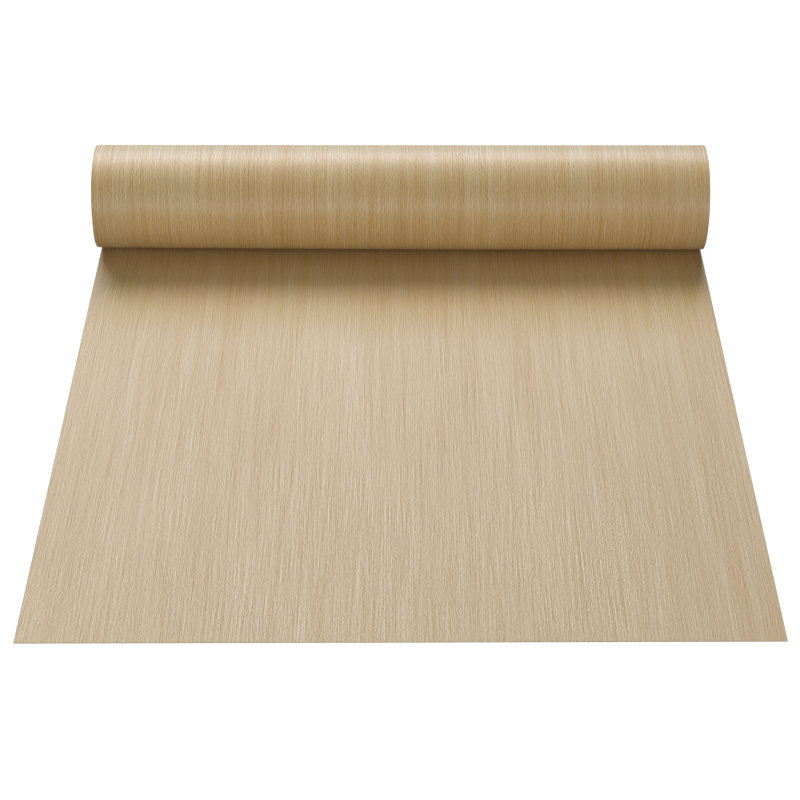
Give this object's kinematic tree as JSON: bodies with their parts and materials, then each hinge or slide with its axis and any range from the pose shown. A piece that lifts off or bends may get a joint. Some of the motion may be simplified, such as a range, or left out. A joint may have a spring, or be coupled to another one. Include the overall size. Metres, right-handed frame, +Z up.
{
  "type": "wood veneer sheet",
  "caption": "Long thin sheet of straight-grained wood veneer, partly unrolled: one end lies flat and the rest is wound in a loose, open-bored roll.",
  "frame": {"origin": "on the surface the sheet lies on, under the middle of the overall box", "axes": "+X along the roll (across the sheet), -Y towards the free edge of the flat run, +Z up"},
  "size_m": [0.61, 0.6575, 0.105],
  "materials": {
    "veneer": "unfinished, sanded straight-grained light oak-like veneer, matt with a faint sheen"
  },
  "bodies": {
    "root": {"veneer_sheet": "veneer"}
  },
  "joints": []
}
